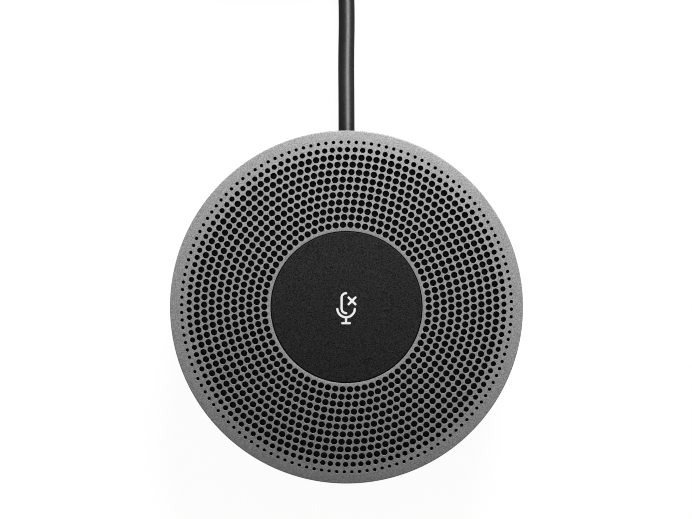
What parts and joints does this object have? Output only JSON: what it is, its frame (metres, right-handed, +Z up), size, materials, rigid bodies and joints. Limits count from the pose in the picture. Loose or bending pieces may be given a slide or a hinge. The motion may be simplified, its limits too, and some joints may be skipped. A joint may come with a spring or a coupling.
{
  "type": "table microphone pod",
  "caption": "Round table microphone pod: shallow perforated dome, central mute button, rubber foot and a captive cable wound into a coil and ending in a round plug.",
  "frame": {"origin": "middle of the rubber foot's underside, on the surface the pod stands on", "axes": "+Z up through the button; +Y is the side the cable leaves; +X is to the right with the cable at the far side"},
  "size_m": [0.1003, 0.2271, 0.021],
  "materials": {
    "cover_paint": "fine-grained satin mid grey",
    "black_cloth": "fine black acoustic cloth",
    "button_plastic": "fine-grained matte near-black",
    "white_lens": "smooth translucent white",
    "black_plastic": "moulded black",
    "base_plastic": "finely textured charcoal",
    "silicone": "milky silicone",
    "foot_rubber": "matte black rubber",
    "blank_label": "blank satin silver label film",
    "zinc_steel": "zinc-plated steel",
    "board_green": "green solder mask",
    "chip_black": "moulded epoxy",
    "chip_tan": "tan ceramic",
    "capsule_aluminium": "plain drawn can",
    "gold_contact": "bright gold-plated",
    "nylon_white": "natural nylon",
    "cable_jacket": "satin black flexible jacket",
    "tie_fabric": "black hook-and-loop strap"
  },
  "bodies": {
    "pod": {"top_cover": "cover_paint", "acoustic_cloth": "black_cloth", "return_dome": "silicone", "switch_body": "black_plastic", "upper_chassis": "black_plastic", "base_shell": "base_plastic", "foot_ring": "foot_rubber", "base_label": "blank_label", "ballast_plate": "zinc_steel", "housing_screws": "zinc_steel", "main_board": "board_green", "codec_chip": "chip_black", "controller_chip": "chip_black", "regulator_chip": "chip_black", "crystal_can": "zinc_steel", "power_inductor": "chip_black", "board_capacitors": "chip_tan", "board_resistors": "chip_black", "status_leds": "white_lens", "mic_capsule_right": "capsule_aluminium", "mic_boot_right": "foot_rubber", "mic_leads_right": "gold_contact", "mic_capsule_left": "capsule_aluminium", "mic_boot_left": "foot_rubber", "mic_leads_left": "gold_contact", "mic_capsule_front": "capsule_aluminium", "mic_boot_front": "foot_rubber", "mic_leads_front": "gold_contact", "cable_grommet": "cable_jacket", "cable_clamp": "black_plastic", "clamp_screws": "zinc_steel", "cable_inner_end": "cable_jacket", "harness_wires": "cable_jacket", "harness_plug": "nylon_white", "board_socket": "nylon_white", "cable_run": "cable_jacket", "cable_coil": "cable_jacket", "cable_tail": "cable_jacket", "cable_tie": "tie_fabric", "plug_strain_relief": "cable_jacket", "plug_shell": "black_plastic", "plug_sleeve": "gold_contact", "plug_rings": "gold_contact", "plug_tip": "gold_contact", "plug_insulator": "black_plastic"},
    "mute_button": {"mute_button_cap": "button_plastic", "icon_lens": "white_lens", "button_carrier": "black_plastic"},
    "switch_plunger": {"switch_stem": "black_plastic"}
  },
  "joints": [
    {"name": "mute_button_press", "type": "slide", "parent": "pod", "child": "mute_button", "axis": [0, 0, -1], "range_m": [0, 0.0006], "stiffness_N_per_m": 2500, "springref_m": -0.0004, "deforming": ["return_dome"]},
    {"name": "switch_stem_press", "type": "slide", "parent": "pod", "child": "switch_plunger", "axis": [0, 0, -1], "range_m": [0, 0.0006]}
  ],
  "couplings": [
    {"joint": "switch_stem_press", "follows": "mute_button_press", "ratio": 1}
  ]
}
